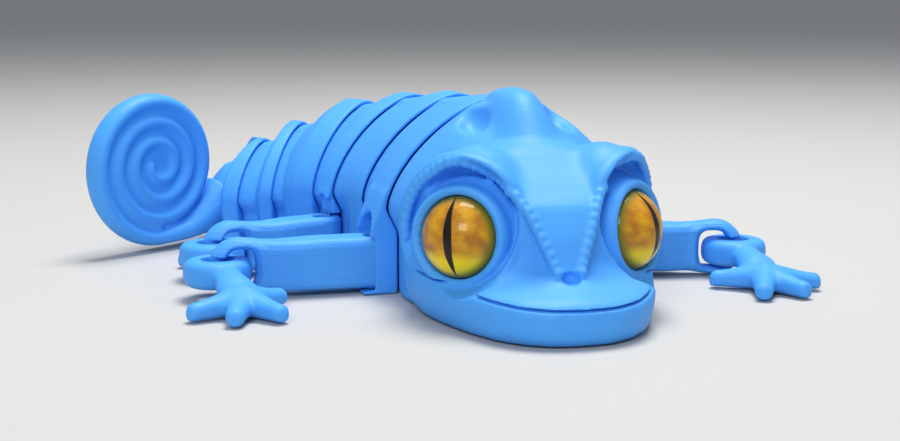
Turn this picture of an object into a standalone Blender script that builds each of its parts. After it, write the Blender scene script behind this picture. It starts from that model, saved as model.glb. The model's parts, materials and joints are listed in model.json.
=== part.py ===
"""Jointed chameleon toy, printed in blue plastic, with two glass eyes.

The toy lies flat on its belly. Its trunk is a chain of hoods. Each hood ends in a round barrel
that turns inside the pocket of the hood behind it, about an upright pin. The head, the four legs
and the coiled tail turn on upright pins too, and each foot hangs on the ring of its leg by a loop.

Lengths are in millimetres and are scaled to metres when a mesh is made. +Z is up. The chest stands
at the origin and faces -Y, and every other piece is placed from the piece that carries it.
"""

import math

import bmesh
import bpy
from mathutils import Matrix, Vector

MM = 0.001
WELD = 0.000002  # points this close, in metres, are one point
FLAT_ANGLE = math.radians(0.4)
CLEARANCE = 0.55  # running gap of a printed joint
BLUE = (0.075, 0.33, 0.86, 1.0)
AMBER = (0.55, 0.24, 0.03, 1.0)

# Spine: each hood's front edge (half width, height), the distance from its front pin to its rear
# pin, and the angle by which it is turned from the hood ahead. Angles are in degrees.
HOODS = (
    ("trunk_2", 25.4, 41.8, 20.3, 8.3),
    ("hip", 24.8, 40.4, 18.4, 9.3),
    ("tail_base_1", 22.6, 37.8, 20.8, 18.7),
    ("tail_base_2", 19.8, 31.6, 12.0, 15.2),
    ("tail_base_3", 16.2, 26.8, 14.0, -2.0),
)
CHEST = (26.0, 42.4, 20.8)  # half width, height, neck pin to rear pin
# Flanks that carry the legs: half widths (ground, shoulder), front (near, far), back and lift.
FLANKS = {
    "chest": ((31.0, 28.6), (5.0, 7.2), 19.6, 0.0),
    "hip": ((27.6, 26.6), (6.0, 6.4), 15.4, 1.2),
}
NECK_TO_CENTRE = 11.0
HEAD_TURN = -6.0
TAIL_TURN = 69.8
TAIL_BARREL = (8.8, 20.5)  # radius and height of the last barrel
EDGE_SETBACK = 0.30  # a hood's edge lies this share of the barrel's radius behind the pin
TUCK = 2.0  # the barrel reaches this far inside the edge
SWING = 8.0  # a hood's largest turn either way
COIL_SWING = 12.0
SILL_SHARE = 0.45  # height of a hood's widest point, as a share of its full height
RIM_STEP = 1.05  # an edge stands this far above the barrel under it
RIM_INSET = 1.3  # a hood's low wall leans in by this much at its foot
BARREL_INSET = 2.4  # a barrel's low wall stands this far inside its sill
DOME_POWER = 1.29  # 1 gives a half-round dome, and more gives a peaked one
DOME_ANGLES = (22.0, 44.0, 66.0)
CAP_RISE = 0.9  # a barrel's crown rises this much inside the rim that it fits

PIN_RADIUS = 1.5
EYELET_RADIUS = 3.2
TONGUE_HALF = 1.9
TONGUE_BOTTOM = 7.5
TONGUE_TOP = 11.5

# Legs and feet. A leg's length runs from its socket pin to the upright bar of its ring, which the
# foot's loop goes round.
LEG_HALF = 4.6
LEG_BOTTOM = 1.2
LEG_TOP = 12.4
LEG_PIN_RADIUS = 1.8
ARCH_START = -1.5  # the arch over a leg begins this far inside the leg's pin
RING_HALF = 3.3
RING_BOTTOM = 0.3
RING_TOP = 13.1
RING_CHAMFER = 0.9
BAR_RADIUS = 1.8
LOOP_RADIUS = 7.4
LOOP_BORE = 3.4
LOOP_BOTTOM = 2.9
LOOP_TOP = 8.7
LEGS = (
    # carrier, name, side, socket x, socket y, length, sweep, foot turn
    ("chest", "front_right", -1, 26.4, 13.2, 34.2, -5.0, 10.0),
    ("chest", "front_left", 1, 26.4, 13.2, 32.6, -22.0, 14.0),
    ("hip", "hind_right", -1, 25.4, 10.2, 28.0, -6.0, 146.0),
    ("hip", "hind_left", 1, 25.4, 10.2, 28.0, 6.0, -146.0),
)
PALM_REACH = 18.0  # the toes spread from a point this far in front of the loop's pin
# Half width, bottom, top and distance from the loop's pin at each section of a foot's root.
ROOT_SECTIONS = ((3.0, 3.0, 8.2, 5.2), (3.4, 2.4, 7.9, 9.0), (4.6, 0.05, 7.2, 14.5), (3.5, 0.06, 5.1, 20.3))
TOES = ((-25.0, 12.4), (25.0, 12.6), (-80.0, 12.4), (118.0, 12.2))  # heading, length
# Half width, thickness and share of the length at each section of a toe.
TOE_SECTIONS = ((4.2, 6.2, -0.06), (2.2, 3.8, 0.84), (1.2, 2.8, 1.0))

EYE_RADIUS = 8.0
EYE_RISE = 5.0
EYE_SPREAD = 18.4
EYE_TURN = 40.0
EYE_TILT = 6.0
EYE_HEIGHT = 17.9
NECK_TO_EYES = 28.0

# Head: distance ahead of the eyes, half width, brow (x, z), rise beside the middle, and its height.
HEAD_SECTIONS = (
    (24.0, 6.0, (3.8, 6.2), 0.0, 6.4),
    (21.4, 11.2, (6.8, 9.2), 0.0, 9.6),
    (15.6, 15.8, (8.8, 12.4), 0.2, 12.4),
    (11.6, 17.8, (9.0, 18.6), -0.4, 18.6),
    (8.2, 19.5, (9.4, 24.6), -0.8, 24.4),
    (2.0, 22.4, (11.5, 29.2), -1.0, 28.2),
    (-6.0, 25.2, (13.5, 32.4), -0.6, 33.0),
    (-12.0, 26.4, (15.0, 30.6), 0.0, 35.6),
    (-19.0, 26.6, (16.5, 29.2), 0.8, 37.2),
    (-27.5, 24.2, (17.5, 27.4), 1.8, 38.0),
)
# Crest: half width, y of its back and of its front, and height.
CREST_SECTIONS = ((7.2, 5.4, -24.0, 26.0), (6.4, 5.4, -22.2, 34.6), (5.4, 5.4, -17.2, 40.0),
                  (4.4, 5.4, -13.0, 43.4), (2.6, 3.0, -9.6, 45.0))

COIL_CENTRE = (26.7, 21.7)  # y and z
COIL_TURNS = 3.3
COIL_FIRST = 18.3
COIL_PITCH = 4.9
COIL_SWELL = 1.06  # corners of an eight-sided section stand outside its round by this much
# The neck of the tail: y, z, half height and half width of each section.
NECK_PATH = ((5.0, 10.2, 7.6, 6.6), (11.0, 7.2, 5.0, 5.4), (18.0, 4.4, 2.9, 4.2))


# ---------------------------------------------------------------- general tools


def clear_scene():
    for obj in list(bpy.data.objects):
        bpy.data.objects.remove(obj, do_unlink=True)


def collection(name):
    made = bpy.data.collections.new(name)
    bpy.context.scene.collection.children.link(made)
    return made


def material(name, colour, roughness):
    made = bpy.data.materials.new(name)
    made.use_nodes = True
    shader = made.node_tree.nodes["Principled BSDF"]
    shader.inputs["Base Color"].default_value = colour
    shader.inputs["Roughness"].default_value = roughness
    made.diffuse_color = colour
    return made


def add(name, data, where):
    obj = bpy.data.objects.new(name, data)
    where.objects.link(obj)
    return obj


def add_mesh(name, bm, where):
    mesh = bpy.data.meshes.new(name)
    bmesh.ops.recalc_face_normals(bm, faces=bm.faces)
    bm.to_mesh(mesh)
    bm.free()
    return add(name, mesh, where)


def settle(obj):
    """Turns the object, with its modifiers, into a plain triangle mesh that is closed."""
    bpy.context.view_layer.update()
    graph = bpy.context.evaluated_depsgraph_get()
    bm = bmesh.new()
    bm.from_mesh(bpy.data.meshes.new_from_object(obj.evaluated_get(graph)))
    bmesh.ops.transform(bm, matrix=obj.matrix_world, verts=bm.verts)
    bmesh.ops.triangulate(bm, faces=bm.faces)
    bmesh.ops.remove_doubles(bm, verts=bm.verts, dist=WELD)
    name, where = obj.name, obj.users_collection[0]
    bpy.data.objects.remove(obj, do_unlink=True)
    return add_mesh(name, bm, where)


def loft(name, rings, where):
    """One closed solid through unlike sections of equally many points."""
    bm = bmesh.new()
    rows = [[bm.verts.new(Vector(p) * MM) for p in ring] for ring in rings]
    count = len(rows[0])
    for low, high in zip(rows, rows[1:]):
        for i in range(count):
            j = (i + 1) % count
            bm.faces.new((low[i], low[j], high[j], high[i]))
    bm.faces.new(list(reversed(rows[0])))
    bm.faces.new(rows[-1])
    return add_mesh(name, bm, where)


def rod(name, radius, low, high, count, where, x=0.0, y=0.0):
    """An upright cylinder."""
    bm = bmesh.new()
    place_at = Matrix.Translation(Vector((x, y, 0.5 * (low + high))) * MM)
    bmesh.ops.create_cone(bm, cap_ends=True, segments=count, radius1=radius * MM, radius2=radius * MM,
                          depth=(high - low) * MM, matrix=place_at)
    return add_mesh(name, bm, where)


def turning(name, levels, count, where, y=0.0):
    """An upright turned solid, whose profile runs through (radius, height) levels."""
    profile = [(0.0, levels[0][1])] + list(levels) + [(0.0, levels[-1][1])]
    bm = bmesh.new()
    dots = [bm.verts.new((r * MM, 0.0, z * MM)) for r, z in profile]
    for first, second in zip(dots, dots[1:]):
        bm.edges.new((first, second))
    obj = add_mesh(name, bm, where)
    screw = obj.modifiers.new("turn", "SCREW")
    screw.steps = count
    screw.render_steps = count
    screw.use_merge_vertices = True
    screw.merge_threshold = WELD
    obj.location = (0.0, y * MM, 0.0)
    return settle(obj)


def prism(name, plan, low, high, where, bevel=0.0):
    """A flat outline raised from low to high, with its edges chamfered by the bevel."""
    curve = bpy.data.curves.new(name, "CURVE")
    curve.dimensions = "2D"
    curve.fill_mode = "BOTH"
    curve.extrude = (0.5 * (high - low) - bevel) * MM
    curve.bevel_depth = bevel * MM
    curve.bevel_resolution = 0
    curve.offset = -bevel * MM
    spline = curve.splines.new("POLY")
    spline.points.add(len(plan) - 1)
    for point, (x, y) in zip(spline.points, plan):
        point.co = (x * MM, y * MM, 0.0, 1.0)
    spline.use_cyclic_u = True
    obj = add(name, curve, where)
    obj.location = (0.0, 0.0, 0.5 * (low + high) * MM)
    return settle(obj)


def side_plate(name, outline, half, where, bevel=0.0):
    """An (x, z) outline in the upright plane of a leg, as thick across y as twice the half."""
    plate = prism(name, outline, -half, half, where, bevel)
    plate.data.transform(Matrix.Rotation(math.pi / 2, 4, "X"))
    return plate


def combine(obj, other, operation):
    """Joins or cuts one solid with another, which is used up."""
    modifier = obj.modifiers.new(operation.lower(), "BOOLEAN")
    modifier.operation = operation
    modifier.object = other
    other.hide_render = True
    other.display_type = "WIRE"
    made = settle(obj)
    bpy.data.objects.remove(other, do_unlink=True)
    return made


def merge_flat_faces(obj):
    """Joins faces that lie in one plane, and splits them again into as few triangles as will do."""
    bm = bmesh.new()
    bm.from_mesh(obj.data)
    bmesh.ops.dissolve_limit(bm, angle_limit=FLAT_ANGLE, verts=bm.verts, edges=bm.edges)
    bmesh.ops.triangulate(bm, faces=bm.faces)
    bm.to_mesh(obj.data)
    bm.free()


def place(obj, name, parent, x, y, turn, skin):
    """Puts a piece's origin, which is its pin, at (x, y) in its carrier's frame."""
    merge_flat_faces(obj)
    obj.name = name
    obj.parent = parent
    obj.location = (x * MM, y * MM, 0.0)
    obj.rotation_euler = (0.0, 0.0, math.radians(turn))
    obj.data.materials.append(skin)
    obj.data.shade_smooth()
    obj.data.set_sharp_from_angle(angle=math.radians(35.0))
    return obj


def turned(plan, degrees, x, y):
    """A plan outline turned about its own origin and moved to (x, y)."""
    c = math.cos(math.radians(degrees))
    s = math.sin(math.radians(degrees))
    return [(x + c * px - s * py, y + s * px + c * py) for px, py in plan]


# ---------------------------------------------------------------- joints


def socket(half, reach, swing, heading, low, high, where, x, y, knuckle, pin):
    """Room for a knuckle and its bar, fanned out by the swing, less the pin that stands in it.

    The heading is the way the bar leaves the pin, in degrees from +Y.
    """
    spread = half + reach * math.tan(math.radians(swing))
    plan = [(half, 0.0), (spread, reach), (-spread, reach), (-half, 0.0)]
    room = prism("room", turned(plan, heading, x, y), low, high, where)
    room = combine(room, rod("knuckle_room", knuckle, low, high, 10, where, x, y), "UNION")
    return combine(room, rod("post", pin, low - 1.0, high + 1.0, 8, where, x, y), "DIFFERENCE")


def tongue(reach, where):
    """An eyelet round the pin at the origin, with a bar running back to the pocket's wall."""
    bore = PIN_RADIUS + CLEARANCE
    plan = [(-TONGUE_HALF, bore), (TONGUE_HALF, bore), (TONGUE_HALF, reach), (-TONGUE_HALF, reach)]
    bar = prism("bar", plan, TONGUE_BOTTOM, TONGUE_TOP, where)
    eyelet = rod("eyelet", EYELET_RADIUS, TONGUE_BOTTOM, TONGUE_TOP, 10, where)
    bar = combine(bar, eyelet, "UNION")
    return combine(bar, rod("bore", bore, 0.0, TONGUE_TOP + 5.0, 8, where), "DIFFERENCE")


def tongue_socket(where, y, swing, heading=0.0, reach=26.0):
    return socket(TONGUE_HALF + CLEARANCE, reach, swing, heading, TONGUE_BOTTOM - CLEARANCE,
                  TONGUE_TOP + CLEARANCE, where, 0.0, y, EYELET_RADIUS + CLEARANCE, PIN_RADIUS)


# ---------------------------------------------------------------- the spine


def dome(half_width, height):
    """Points (x, z) up one side of a dome that stands on its sill, less its foot and its crown."""
    sill = SILL_SHARE * height
    points = []
    for degrees in DOME_ANGLES:
        a = math.radians(degrees)
        x = half_width * math.cos(a) ** DOME_POWER
        points.append((x, sill + (height - sill) * math.sin(a) ** DOME_POWER))
    return points


def mirrored(right, height, y):
    """A whole section at y from its right side, with a crown in the middle."""
    left = [(-x, z) for x, z in reversed(right)]
    return [(x, y, z) for x, z in right + [(0.0, height)] + left]


def arch(half_width, height, y):
    """A hood's section at y: a low wall that leans in, a sill, and a peaked dome over it."""
    sill = SILL_SHARE * height
    foot = half_width - RIM_INSET
    right = [(foot, 0.0), (half_width - 0.45 * RIM_INSET, 0.5 * sill), (half_width, sill)]
    return mirrored(right + dome(half_width, height), height, y)


def under_rim(radius, height):
    """Half width and height of the section that a barrel shows under the rim it turns in."""
    return radius * math.sqrt(1 - EDGE_SETBACK**2), height - CAP_RISE


def waist(radius, height, y):
    """A hood's section over its rear pin, where it is as wide as the barrel that follows."""
    half_width, rim = under_rim(radius, height)
    sill = SILL_SHARE * height
    setback = EDGE_SETBACK * radius
    foot = radius - BARREL_INSET
    right = [(foot, 0.0), (foot, 0.5 * sill), (radius - 0.05, sill)]
    right += [(math.hypot(x, setback) - 0.05, z) for x, z in dome(half_width, rim)]
    return mirrored(right, height - 0.05, y)


def barrel_levels(radius, height, grow=0.0):
    """(radius, height) levels of a barrel. A pocket is the same shape, grown by the clearance."""
    half_width, rim = under_rim(radius, height)
    setback = EDGE_SETBACK * radius
    sill = SILL_SHARE * height
    foot = radius - BARREL_INSET + grow
    levels = [(foot, -grow), (foot, 0.72 * sill), (radius + grow, sill)]
    for degrees, (x, z) in zip(DOME_ANGLES, dome(half_width, rim)):
        a = math.radians(degrees)
        levels.append((math.hypot(x, setback) + grow * math.cos(a), z + grow * math.sin(a)))
    return levels + [(setback, rim + grow), (0.05 * radius, height + grow)]


def barrel_for(half_width, height):
    """The barrel that fits under the edge of the hood behind it: (radius, height)."""
    return (half_width - RIM_STEP) / math.sqrt(1 - EDGE_SETBACK**2), height - RIM_STEP + CAP_RISE


def barrel(radius, height, where, y, turn):
    """The front part of a barrel. Its back is flat, and faces the way the next hood is turned."""
    body = turning("barrel", barrel_levels(radius, height), 24, where, y)
    cut = EDGE_SETBACK * radius + TUCK
    plan = turned([(-60.0, cut), (60.0, cut), (60.0, 80.0), (-60.0, 80.0)], turn, 0.0, y)
    return combine(body, prism("back", plan, -5.0, 60.0, where), "DIFFERENCE")


def pocket(radius, height, where):
    """The room that a barrel turns in, round the pin at the origin."""
    body = turning("pocket", barrel_levels(radius, height, CLEARANCE), 24, where)
    cut = EDGE_SETBACK * radius + TUCK + CLEARANCE
    side = cut + 40.0 * math.tan(math.radians(SWING))
    back = [(-40.0, side), (0.0, cut), (40.0, side), (40.0, 90.0), (-40.0, 90.0)]
    return combine(body, prism("back", back, -5.0, 60.0, where), "DIFFERENCE")


def room_for_edge(edge, turn, y, where):
    """The space that the edge of the next hood sweeps, behind a hood's shell."""
    start = edge - CLEARANCE
    plan = [(0.0, y + start)]
    for x, angle in ((60.0, turn - SWING), (-60.0, turn + SWING)):
        a = math.radians(angle)
        plan.append((x, y + (start + x * math.sin(a)) / math.cos(a)))
    plan[1:] = [plan[1], (60.0, y + 90.0), (-60.0, y + 90.0), plan[2]]
    return prism("edge_room", plan, -5.0, 60.0, where)


def room_for_neck(half, turn, y, where):
    """The space that the neck of the tail sweeps, beside the last hood."""
    spread = half + 30.0 * math.tan(math.radians(SWING))
    plan = turned([(half, -2.0), (spread, 30.0), (-spread, 30.0), (-half, -2.0)], turn, 0.0, y)
    return prism("neck_room", plan, -5.0, 60.0, where)


def hood(row, front, rear, turn, work, flank=None, last=False):
    """One length of the trunk, with its front pin at the origin and its rear pin at y = length."""
    half_width, height, length = row
    edge = EDGE_SETBACK * front[0]
    radius, top = rear
    shoulder = edge + 0.35 * (length - edge) + 1.0
    shell = loft("shell", [
        arch(half_width - 0.3, height - 0.3, edge),
        arch(half_width + 0.2, height + 0.2, edge + 0.8),
        arch(half_width + 0.3, height + 0.3, shoulder),
        waist(radius, top, length + 0.3),
    ], work)
    if flank:
        shell = combine(shell, flank, "UNION")
    if last:
        shell = combine(shell, room_for_neck(6.9, turn, length, work), "DIFFERENCE")
        drum = turning("barrel", barrel_levels(radius, top), 24, work, length)
    else:
        room = room_for_edge(EDGE_SETBACK * radius, turn, length, work)
        shell = combine(shell, room, "DIFFERENCE")
        drum = barrel(radius, top, work, length, turn)
    shell = combine(shell, drum, "UNION")
    shell = combine(shell, pocket(*front, work), "DIFFERENCE")
    return combine(shell, tongue(edge + TUCK + 2.5, work), "UNION")


def flare(halves, front, back, lift, work):
    """Wings that spread from a hood's flanks to hold the legs' sockets.

    The halves are their half widths at the ground and at the leg's top.
    """
    ground, shoulder = halves
    near, far = front
    inner = 19.0
    section = ((inner, lift), (ground - 0.6, lift), (ground, lift + 1.0), (shoulder + 0.8, 12.0),
               (shoulder - 0.2, 17.0), (shoulder - 3.0, 21.5), (inner, 23.0))
    rows = []
    for share in (0.0, 1.0):
        row = []
        for x, z in section:
            start = near + (far - near) * (x - inner) / (ground - inner)
            row.append((x, start + share * (back - start), z))
        rows.append(row)
    wing = loft("flare", rows, work)
    mirror = wing.modifiers.new("left", "MIRROR")
    mirror.use_mirror_merge = False
    wing = settle(wing)
    reach = inner + 0.5
    plan = [(reach, back - 3.0), (-reach, back - 3.0), (-reach, back - 0.5), (reach, back - 0.5)]
    return combine(wing, prism("across", plan, lift + 2.0, 7.0, work), "UNION")


def spine(toy, skin):
    """The chest and the hoods behind it. Returns each piece by its name."""
    rows = [CHEST] + [row[1:4] for row in HOODS]
    rears = [barrel_for(*row[1:3]) for row in HOODS] + [TAIL_BARREL]
    names = ["chest"] + [row[0] for row in HOODS]
    turns = [0.0] + [row[4] for row in HOODS] + [TAIL_TURN]
    pieces = {}
    for i, name in enumerate(names):
        length = rows[i][2]
        last = i == len(HOODS)
        flank = flare(*FLANKS[name], toy) if name in FLANKS else None
        body = hood(rows[i], barrel_for(*rows[i][:2]), rears[i], turns[i + 1], toy, flank, last)
        if last:
            room = tongue_socket(toy, length, COIL_SWING, TAIL_TURN, 12.0)
        else:
            room = tongue_socket(toy, length, SWING, turns[i + 1])
        body = combine(body, room, "DIFFERENCE")
        for carrier, _, side, x, y, _, sweep, _ in LEGS:
            if carrier == name:
                body = combine(body, leg_socket(side, x, y, sweep, toy), "DIFFERENCE")
        parent = pieces[names[i - 1]] if i else None
        pin_y = rows[i - 1][2] if i else -NECK_TO_CENTRE
        pieces[name] = place(body, name, parent, 0.0, pin_y, turns[i], skin)
    return pieces


# ---------------------------------------------------------------- legs


def leg_socket(side, x, y, sweep, work):
    """A slot for the knuckle and the bar of a leg, under a round-topped arch in the flank."""
    heading = sweep - 90.0 * side
    half = LEG_HALF + CLEARANCE
    high = LEG_TOP + CLEARANCE
    room = socket(half, 14.0, 10.0, heading, LEG_BOTTOM - CLEARANCE, high, work, side * x, y, half,
                  LEG_PIN_RADIUS)
    vault = rod("vault", half, 0.0, 16.0, 12, work)
    way = Matrix.Rotation(math.radians(heading), 4, "Z")
    lie = Matrix.Rotation(-math.pi / 2, 4, "X")
    start = Matrix.Translation(Vector((0.0, ARCH_START, 0.0)) * MM)
    stand = Matrix.Translation(Vector((side * x, y, high - 0.8)) * MM)
    vault.data.transform(stand @ way @ start @ lie)
    return combine(room, vault, "UNION")


def chamfered(y_half, low, high, cut, x):
    """An eight-sided upright section at x, as points in a leg's frame."""
    return [
        (x, y_half - cut, low), (x, y_half, low + cut), (x, y_half, high - cut),
        (x, y_half - cut, high), (x, cut - y_half, high), (x, -y_half, high - cut),
        (x, -y_half, low + cut), (x, cut - y_half, low),
    ]


def ring_outline(tip):
    """The (x, z) outline of a leg's ring: an arch round its hole, with a tang into the bar."""
    centre, middle = tip - 4.4, 0.5 * (RING_BOTTOM + RING_TOP)
    radius = 0.5 * (RING_TOP - RING_BOTTOM)
    outline = [(tip - 14.0, LEG_BOTTOM + 0.6), (centre - 3.0, RING_BOTTOM)]
    for degrees in (-90.0, -52.0, -17.0, 17.0, 52.0, 90.0):
        a = math.radians(degrees)
        outline.append((centre + radius * math.cos(a), middle + radius * math.sin(a)))
    return outline + [(centre - 3.0, RING_TOP - 0.4), (tip - 14.0, LEG_TOP - 0.6)]


def leg(side, length, work):
    """A bar from its socket pin to an upright ring, whose outer end the foot's loop goes round."""
    body = turning("knuckle", [(LEG_HALF - 0.8, LEG_BOTTOM), (LEG_HALF, LEG_BOTTOM + 0.8),
                               (LEG_HALF, LEG_TOP - 0.8), (LEG_HALF - 0.8, LEG_TOP)], 10, work)
    bar_end = length - 11.5
    bar = loft("bar", [
        chamfered(LEG_HALF - 0.1, LEG_BOTTOM, LEG_TOP, 1.2, 0.5),
        chamfered(LEG_HALF - 0.1, LEG_BOTTOM, LEG_TOP, 1.2, bar_end - 3.5),
        chamfered(RING_HALF - 0.2, LEG_BOTTOM, LEG_TOP, 1.0, bar_end),
    ], work)
    body = combine(body, bar, "UNION")
    ring = side_plate("ring", ring_outline(length), RING_HALF, work, RING_CHAMFER)
    body = combine(body, ring, "UNION")
    low, high = RING_BOTTOM + 2.0, RING_TOP - 2.4
    left, right = length - LOOP_RADIUS - 0.8, length - BAR_RADIUS
    hole = [
        (left + 1.8, low), (right - 1.0, low), (right, low + 1.0), (right, high - 3.0),
        (right - 0.9, high - 1.2), (right - 2.4, high), (left + 2.4, high), (left + 0.8, high - 1.4),
        (left, high - 3.4), (left, low + 2.4), (left + 0.6, low + 0.8),
    ]
    body = combine(body, side_plate("hole", hole, 9.0, work), "DIFFERENCE")
    low, high, wide = LOOP_BOTTOM - CLEARANCE, LOOP_TOP + CLEARANCE, LOOP_RADIUS + CLEARANCE
    gap = rod("gap", wide, low, high, 16, work, length)
    gap = combine(gap, rod("stay", BAR_RADIUS, 0.0, 14.0, 12, work, length), "DIFFERENCE")
    body = combine(body, gap, "DIFFERENCE")
    bore = rod("bore", LEG_PIN_RADIUS + CLEARANCE, 0.0, 20.0, 8, work)
    body = combine(body, bore, "DIFFERENCE")
    if side < 0:
        body.data.transform(Matrix.Rotation(math.pi, 4, "Z"))
    return body


def web_section(half, low, high, along, heading, x, y):
    """A section across a toe or the root of a foot, at a distance along its heading."""
    outline = ((-half, low), (half, low), (0.6 * half, high), (-0.6 * half, high))
    return [(*turned([(px, -along)], heading, x, y)[0], pz) for px, pz in outline]


def foot(side, work):
    """A tall loop, a root that runs down from it, and four toes webbed into a low star."""
    body = turning("loop", [(LOOP_RADIUS - 0.9, LOOP_BOTTOM), (LOOP_RADIUS, LOOP_BOTTOM + 1.2),
                            (LOOP_RADIUS, LOOP_TOP - 1.2), (LOOP_RADIUS - 0.9, LOOP_TOP)], 10, work)
    root = loft("root", [web_section(half, low, high, along, 0.0, 0.0, 0.0)
                         for half, low, high, along in ROOT_SECTIONS], work)
    body = combine(body, root, "UNION")
    for i, (heading, length) in enumerate(TOES):
        low = 0.12 + 0.07 * i
        sections = [web_section(half, low, low + tall, share * length, -side * heading, 0.0, -PALM_REACH)
                    for half, tall, share in TOE_SECTIONS]
        body = combine(body, loft("toe", sections, work), "UNION")
    return combine(body, rod("eye", LOOP_BORE, -1.0, 12.0, 10, work), "DIFFERENCE")


# ---------------------------------------------------------------- head


def head_section(forward, half, brow, rise, middle):
    """A section of the head: jaw, cheek, brow and the dip between the brows."""
    y = -(NECK_TO_EYES + forward)
    brow_x, brow_z = brow
    right = [
        (0.86 * half, 0.0), (half, 3.0), (half, 8.0),
        (0.5 * (half + brow_x), 8.0 + 0.5 * (brow_z - 8.0)), (brow_x, brow_z),
        (0.55 * brow_x, 0.5 * (brow_z + middle) + rise),
    ]
    left = [(-x, z) for x, z in reversed(right)]
    return [(x, y, z) for x, z in right + [(0.0, middle)] + left]


def eye_matrix(side, lift=0.0):
    """Where an eye looks: outwards and forwards, and a little up."""
    turn = Matrix.Rotation(math.radians(EYE_TURN * side), 4, "Z")
    tilt = Matrix.Rotation(math.radians(90.0 - EYE_TILT), 4, "X")
    where = Vector((EYE_SPREAD * side, -NECK_TO_EYES, EYE_HEIGHT)) * MM
    return Matrix.Translation(where) @ turn @ tilt @ Matrix.Translation((0.0, 0.0, lift * MM))


def ridge_tube(radius, tube, start, stop, where):
    """Part of a ring about the z axis, with a round section that tapers to its ends."""
    steps, sides = 8, 5
    rings = []
    for i in range(steps + 1):
        share = i / steps
        a = math.radians(start + (stop - start) * share)
        thick = tube * (0.55 + 0.45 * math.sin(math.pi * share) ** 0.5)
        ring = []
        for j in range(sides):
            b = 2 * math.pi * j / sides
            r = radius + thick * math.cos(b)
            ring.append((r * math.cos(a), r * math.sin(a), thick * math.sin(b)))
        rings.append(ring)
    return loft("ridge", rings, where)


def head(work):
    """A wide low jaw, a short snout, two eye rings under brow ridges, and a tall crest."""
    body = loft("skull", [head_section(*row) for row in HEAD_SECTIONS], work)
    radius, top = barrel_for(*CHEST[:2])
    body = combine(body, barrel(radius, top, work, 0.0, -HEAD_TURN), "UNION")
    fin = loft("crest", [
        [(x, y, z) for x, y in ((-half, back), (half, back), (half, front), (-half, front))]
        for half, back, front, z in CREST_SECTIONS
    ], work)
    body = combine(body, fin, "UNION")
    for side in (-1, 1):
        turret = turning("turret", [(12.8, -12.0), (12.4, -2.4), (9.9, -1.4), (9.5, 0.0), (8.8, 0.3)],
                         14, work)
        turret.data.transform(eye_matrix(side))
        body = combine(body, turret, "UNION")
        start, stop = (10.0, 175.0) if side < 0 else (5.0, 170.0)
        ridge = ridge_tube(11.6, 1.9, start, stop, work)
        ridge.data.transform(eye_matrix(side, -0.4))
        body = combine(body, ridge, "UNION")
        seat = rod("seat", EYE_RADIUS + 0.5, -1.6, 6.0, 16, work)
        seat.data.transform(eye_matrix(side))
        body = combine(body, seat, "DIFFERENCE")
    return combine(body, tongue_socket(work, 0.0, SWING, -HEAD_TURN), "DIFFERENCE")


def eye(side, work):
    """A glass half lens with a flat back."""
    levels = [(EYE_RADIUS, -1.2), (EYE_RADIUS, 0.0)]
    ball = (EYE_RADIUS**2 + EYE_RISE**2) / (2 * EYE_RISE)
    widest = math.asin(EYE_RADIUS / ball)
    for share in (0.72, 0.4, 0.06):
        a = widest * share
        levels.append((ball * math.sin(a), EYE_RISE - ball * (1 - math.cos(a))))
    lens = turning("lens", levels, 16, work)
    lens.data.transform(eye_matrix(side))
    return lens


# ---------------------------------------------------------------- tail


def coil_point(angle):
    """A point (y, z) on the middle line of the coil, after an angle in radians from its start."""
    r = COIL_FIRST - COIL_PITCH * angle / (2 * math.pi)
    return COIL_CENTRE[0] + r * math.sin(angle), COIL_CENTRE[1] - r * math.cos(angle)


def tail(work):
    """A neck that runs down into a flat spiral standing on edge, with a web between its turns."""
    steps, sides = 27, 8
    path = list(NECK_PATH)
    for i in range(steps + 1):
        y, z = coil_point(2 * math.pi * COIL_TURNS * i / steps)
        path.append((y, z, min(2.2, 0.9 + 0.32 * (steps - i)), 3.4))
    rings = []
    for i, (y, z, half, thick) in enumerate(path):
        before, after = path[max(i - 1, 0)], path[min(i + 1, len(path) - 1)]
        along = Vector((0.0, after[0] - before[0], after[1] - before[1])).normalized()
        out = Vector((0.0, along.z, -along.y))
        ring = []
        for j in range(sides):
            b = 2 * math.pi * (j + 0.5) / sides
            ring.append(Vector((COIL_SWELL * thick * math.cos(b), y, z))
                        + out * (COIL_SWELL * half * math.sin(b)))
        rings.append(ring)
    coil = loft("coil", rings, work)
    rim = [coil_point(2 * math.pi * i / 28) for i in range(28)]
    web = loft("web", [[(x, y, z) for y, z in rim] for x in (-2.2, 2.2)], work)
    coil = combine(coil, web, "UNION")
    clear = turning("clear", barrel_levels(*TAIL_BARREL, CLEARANCE), 24, work)
    coil = combine(coil, clear, "DIFFERENCE")
    return combine(coil, tongue(TAIL_BARREL[0] + 3.0, work), "UNION")


# ---------------------------------------------------------------- assembly


def build():
    clear_scene()
    toy = collection("chameleon")
    skin = material("blue_plastic", BLUE, 0.42)
    glass = material("eye_glass", AMBER, 0.05)
    pieces = spine(toy, skin)
    skull = place(head(toy), "head", pieces["chest"], 0.0, 0.0, HEAD_TURN, skin)
    for side, name in ((-1, "eye_right"), (1, "eye_left")):
        place(eye(side, toy), name, skull, 0.0, 0.0, 0.0, glass)
    place(tail(toy), "tail_coil", pieces["tail_base_3"], 0.0, HOODS[-1][3], TAIL_TURN, skin)
    for carrier, name, side, x, y, length, sweep, turn in LEGS:
        limb = place(leg(side, length, toy), name + "_leg", pieces[carrier], side * x, y, sweep, skin)
        place(foot(side, toy), name + "_foot", limb, side * length, 0.0, turn, skin)


build()
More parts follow.
